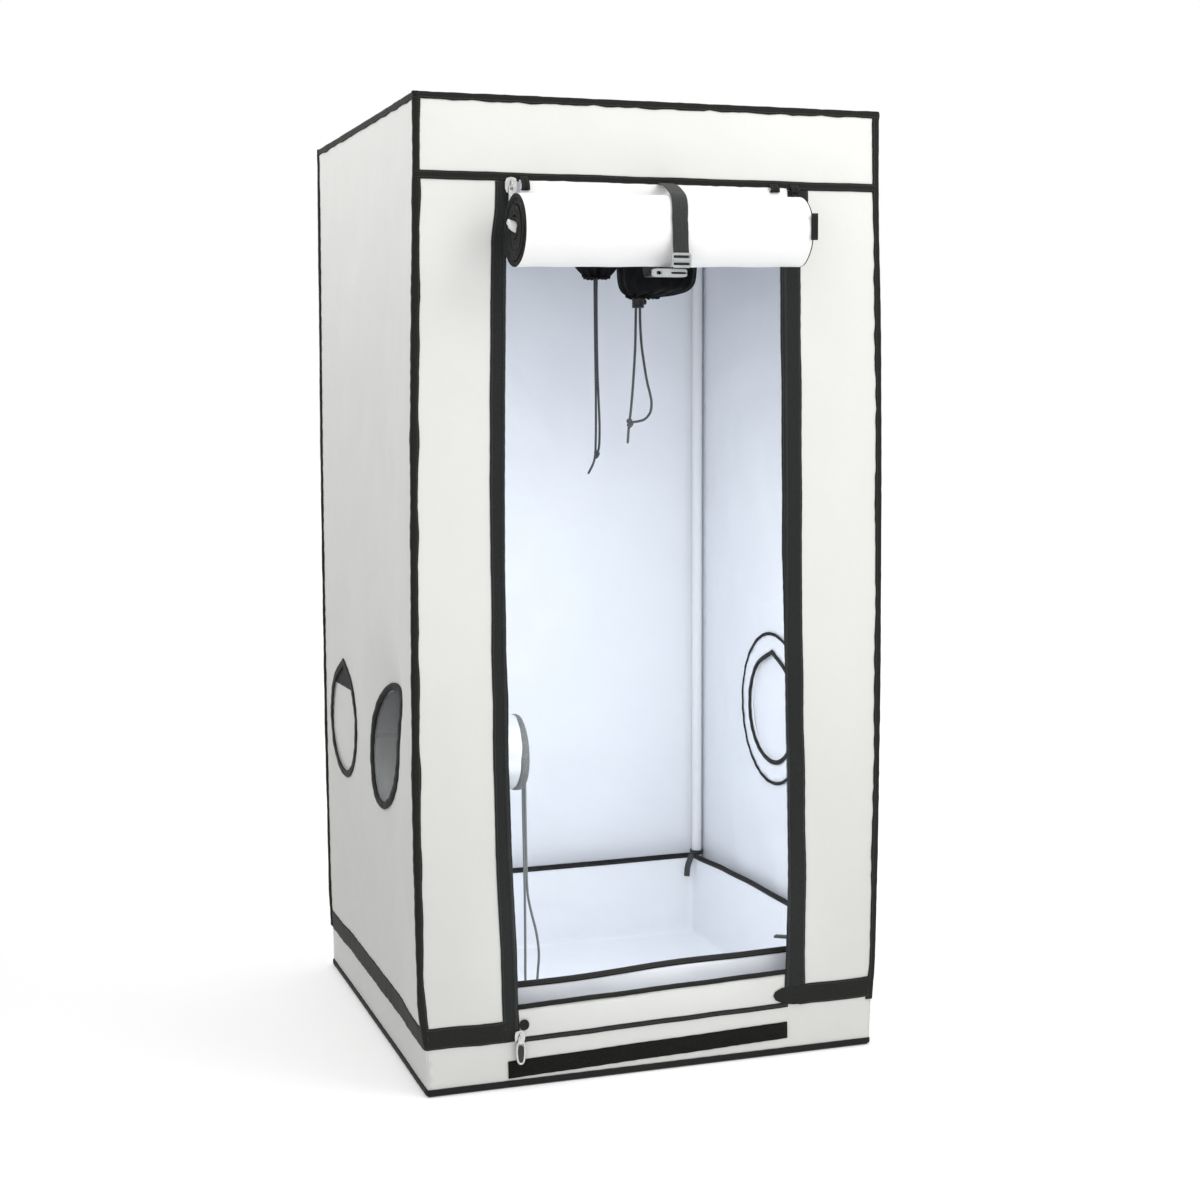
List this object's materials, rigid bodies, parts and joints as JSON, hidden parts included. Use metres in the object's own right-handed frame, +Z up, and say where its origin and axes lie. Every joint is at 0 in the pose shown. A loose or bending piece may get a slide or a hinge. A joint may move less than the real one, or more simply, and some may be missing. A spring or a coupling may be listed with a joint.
{
  "type": "grow tent",
  "caption": "Free-standing square grow tent: pole frame in a white fabric cover, front door rolled up under the header, duct ports with drawstring sleeves, removable spill tray.",
  "frame": {"origin": "centre of the footprint, on the underside of the floor panel, at ground level", "axes": "+Z up, -Y out of the door side, +X to the right seen from the door side"},
  "size_m": [0.6038, 0.7071, 1.2177],
  "materials": {
    "frame_steel": "smooth white powder coat on steel tube",
    "cover_cloth": "coated woven polyester, matt, warm white",
    "door_cloth": "coated woven polyester, lining side out, white",
    "lining_cloth": "reflective white lining, faint satin",
    "base_cloth": "coated woven polyester, black",
    "binding_tape": "black woven binding tape",
    "zip_tape": "black zip tape with a coil along its edge",
    "hook_tape": "black hook-and-loop tape",
    "webbing": "black ribbed webbing",
    "sleeve_cloth": "black coated polyester, gathered",
    "mesh_screen": "fine black mesh with a bound edge",
    "cord": "braided dark grey cord",
    "tray_sheet": "white reflective sheet with a black bound rim",
    "zip_metal": "bright nickel-plated zinc",
    "buckle": "grey moulded plastic",
    "lock_plastic": "black moulded plastic"
  },
  "bodies": {
    "tent": {"corner_low_fl": "frame_steel", "corner_low_fr": "frame_steel", "corner_low_bl": "frame_steel", "corner_low_br": "frame_steel", "corner_top_fl": "frame_steel", "corner_top_fr": "frame_steel", "corner_top_bl": "frame_steel", "corner_top_br": "frame_steel", "upright_fl": "frame_steel", "upright_fr": "frame_steel", "upright_bl": "frame_steel", "upright_br": "frame_steel", "rail_low_front": "frame_steel", "rail_low_back": "frame_steel", "rail_low_left": "frame_steel", "rail_low_right": "frame_steel", "rail_top_front": "frame_steel", "rail_top_back": "frame_steel", "rail_top_left": "frame_steel", "rail_top_right": "frame_steel", "cover_floor": "base_cloth", "cover_roof": "cover_cloth", "cover_front": "cover_cloth", "cover_back": "cover_cloth", "cover_left": "cover_cloth", "cover_right": "cover_cloth", "edge_binding": "binding_tape", "ground_piping": "binding_tape", "sill_binding": "binding_tape", "sill_hook_strip": "hook_tape", "door_zip_tape": "zip_tape", "door_curtain": "door_cloth", "strap_rear": "webbing", "vent_front_screen": "mesh_screen", "vent_front_sleeve": "lining_cloth", "vent_rear_binding": "binding_tape", "port_right_ring": "lining_cloth", "roof_sleeve_front": "sleeve_cloth", "roof_sleeve_rear": "sleeve_cloth", "drawstring_front_a": "cord", "drawstring_front_b": "cord", "drawstring_rear_a": "cord", "drawstring_rear_b": "cord", "drawstring_left": "cord"},
    "roll": {"door_roll": "door_cloth"},
    "strap": {"strap_front": "webbing"},
    "buckle": {"strap_buckle": "buckle"},
    "slider_left": {"zip_slider_left": "zip_metal"},
    "slider_right": {"zip_slider_right": "zip_metal"},
    "slider_low": {"zip_slider_low": "zip_metal"},
    "pull_left": {"zip_pull_left": "zip_metal"},
    "pull_right": {"zip_pull_right": "zip_metal"},
    "pull_low": {"zip_pull_low": "zip_metal"},
    "rear_flap": {"vent_rear_flap": "lining_cloth"},
    "right_flap": {"port_right_flap": "cover_cloth"},
    "lock": {"cord_lock": "lock_plastic"},
    "bar_front": {"hanging_bar_front": "frame_steel"},
    "bar_back": {"hanging_bar_back": "frame_steel"},
    "tray": {"spill_tray": "tray_sheet", "tray_strap": "webbing"}
  },
  "joints": [
    {"name": "door_unroll", "type": "slide", "parent": "tent", "child": "roll", "axis": [0, 0, -1], "range_m": [0, 0.93], "deforming": ["door_curtain", "strap_rear"]},
    {"name": "strap_swing", "type": "hinge", "parent": "tent", "child": "strap", "pos_m": [0.01, -0.303, 1.114], "axis": [-1, 0, 0], "range_deg": [0, 80]},
    {"name": "buckle_slide", "type": "slide", "parent": "strap", "child": "buckle", "axis": [0, 0, 1], "range_m": [0, 0.018]},
    {"name": "left_zip", "type": "slide", "parent": "tent", "child": "slider_left", "axis": [0, 0, -1], "range_m": [0, 0.98]},
    {"name": "left_pull_swing", "type": "hinge", "parent": "slider_left", "child": "pull_left", "pos_m": [-0.1835, -0.3065, 1.105], "axis": [-1, 0, 0], "range_deg": [0, 15]},
    {"name": "right_zip", "type": "slide", "parent": "tent", "child": "slider_right", "axis": [0, 0, -1], "range_m": [0, 0.98]},
    {"name": "right_pull_swing", "type": "hinge", "parent": "slider_right", "child": "pull_right", "pos_m": [0.1835, -0.3065, 1.105], "axis": [-1, 0, 0], "range_deg": [0, 15]},
    {"name": "low_zip", "type": "slide", "parent": "tent", "child": "slider_low", "axis": [1, 0, 0], "range_m": [0, 0.36]},
    {"name": "low_pull_swing", "type": "hinge", "parent": "slider_low", "child": "pull_low", "pos_m": [-0.184, -0.3065, 0.062], "axis": [-1, 0, 0], "range_deg": [0, 160]},
    {"name": "rear_flap_swing", "type": "hinge", "parent": "tent", "child": "rear_flap", "pos_m": [-0.2977, 0.178, 0.484], "axis": [0, -1, 0], "range_deg": [0, 110]},
    {"name": "right_flap_swing", "type": "hinge", "parent": "tent", "child": "right_flap", "pos_m": [0.3009, 0.012, 0.4976], "axis": [0, -1, 0], "range_deg": [0, 150]},
    {"name": "lock_slide", "type": "slide", "parent": "tent", "child": "lock", "axis": [0, 0, -1], "range_m": [0, 0.035]},
    {"name": "bar_front_slide", "type": "slide", "parent": "tent", "child": "bar_front", "axis": [0, 1, 0], "range_m": [-0.03, 0.03]},
    {"name": "bar_back_slide", "type": "slide", "parent": "tent", "child": "bar_back", "axis": [0, 1, 0], "range_m": [-0.03, 0.03]},
    {"name": "tray_lift", "type": "slide", "parent": "tent", "child": "tray", "axis": [0, 0, 1], "range_m": [0, 0.03]}
  ]
}
